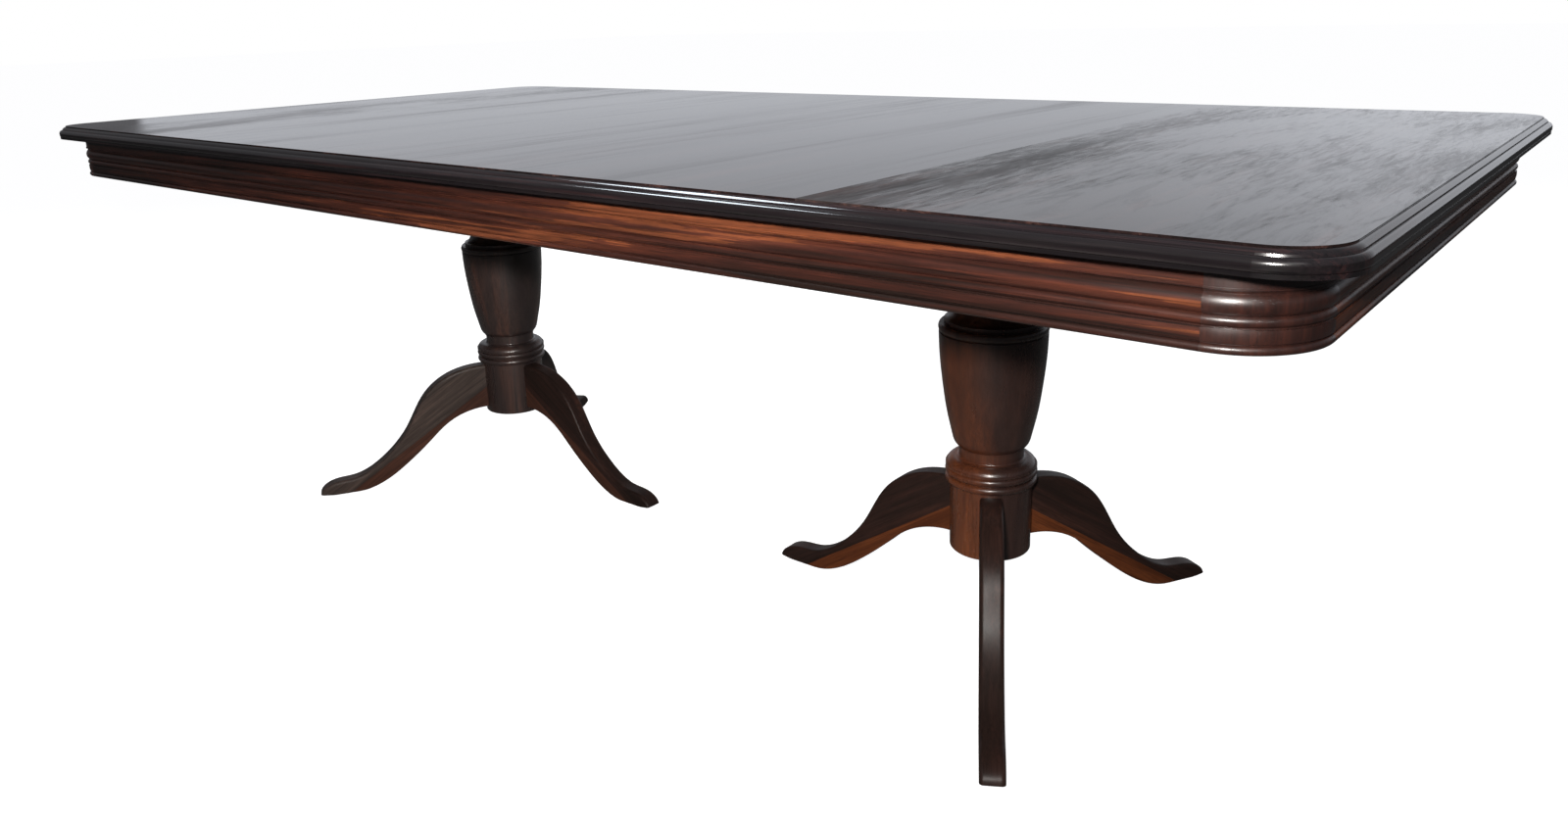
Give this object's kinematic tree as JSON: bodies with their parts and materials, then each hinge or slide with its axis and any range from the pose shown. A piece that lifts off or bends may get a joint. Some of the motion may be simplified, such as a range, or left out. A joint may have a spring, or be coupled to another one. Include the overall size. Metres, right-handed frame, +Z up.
{
  "type": "dining table",
  "caption": "Long rectangular dining table with rounded corners, a moulded apron and two turned pedestals on curved legs.",
  "frame": {"origin": "on the floor, under the middle of the table top", "axes": "+X along the table's length, +Y across it, away from the long side that the picture shows, +Z up"},
  "size_m": [2.4, 1.2, 0.775],
  "materials": {
    "top_veneer": "crosswise veneer under a high-gloss lacquer, near black",
    "edge_wood": "gloss lacquer, near black with red-brown on its arrises",
    "apron_wood": "gloss lacquer over streaked red-brown wood, grain lengthwise",
    "corner_wood": "gloss lacquer over red-brown wood, grain upright",
    "turned_wood": "semi-gloss lacquer over brown wood",
    "leg_wood": "semi-gloss lacquer over dark brown wood, grain along the leg",
    "leg_strip_wood": "semi-gloss lacquer over orange-brown wood, grain along the leg",
    "inner_wood": "bare pale wood, planed",
    "screw_steel": "plain zinc-plated steel",
    "glide_plastic": "plain black"
  },
  "bodies": {
    "root": {"top_panel_left_end": "top_veneer", "top_panel_left": "top_veneer", "top_panel_middle": "top_veneer", "top_panel_right": "top_veneer", "top_panel_right_end": "top_veneer", "top_loose_tongues": "inner_wood", "edge_moulding_front": "edge_wood", "edge_moulding_back": "edge_wood", "edge_moulding_left": "edge_wood", "edge_moulding_right": "edge_wood", "edge_corner_front_left": "edge_wood", "edge_corner_front_right": "edge_wood", "edge_corner_back_left": "edge_wood", "edge_corner_back_right": "edge_wood", "apron_rail_front": "apron_wood", "apron_rail_back": "apron_wood", "apron_rail_left": "apron_wood", "apron_rail_right": "apron_wood", "apron_corner_front_left": "corner_wood", "apron_corner_front_right": "corner_wood", "apron_corner_back_left": "corner_wood", "apron_corner_back_right": "corner_wood", "apron_dowels": "inner_wood", "bearer_left_outer": "inner_wood", "bearer_left_inner": "inner_wood", "bearer_middle_left": "inner_wood", "bearer_middle_right": "inner_wood", "bearer_right_inner": "inner_wood", "bearer_right_outer": "inner_wood", "pedestal_block_left": "inner_wood", "column_left": "turned_wood", "column_cap_left": "turned_wood", "pedestal_block_right": "inner_wood", "column_right": "turned_wood", "column_cap_right": "turned_wood", "leg_left_centre_upper": "leg_wood", "leg_left_front_upper": "leg_wood", "leg_left_back_upper": "leg_wood", "leg_right_centre_upper": "leg_wood", "leg_right_front_upper": "leg_wood", "leg_right_back_upper": "leg_wood", "leg_left_centre_lower": "leg_strip_wood", "leg_left_front_lower": "leg_strip_wood", "leg_left_back_lower": "leg_strip_wood", "leg_right_centre_lower": "leg_strip_wood", "leg_right_front_lower": "leg_strip_wood", "leg_right_back_lower": "leg_strip_wood", "bearer_screws": "screw_steel", "button_screws": "screw_steel", "cap_screws": "screw_steel", "coach_screws": "screw_steel", "top_buttons": "inner_wood", "foot_glides": "glide_plastic"}
  },
  "joints": []
}
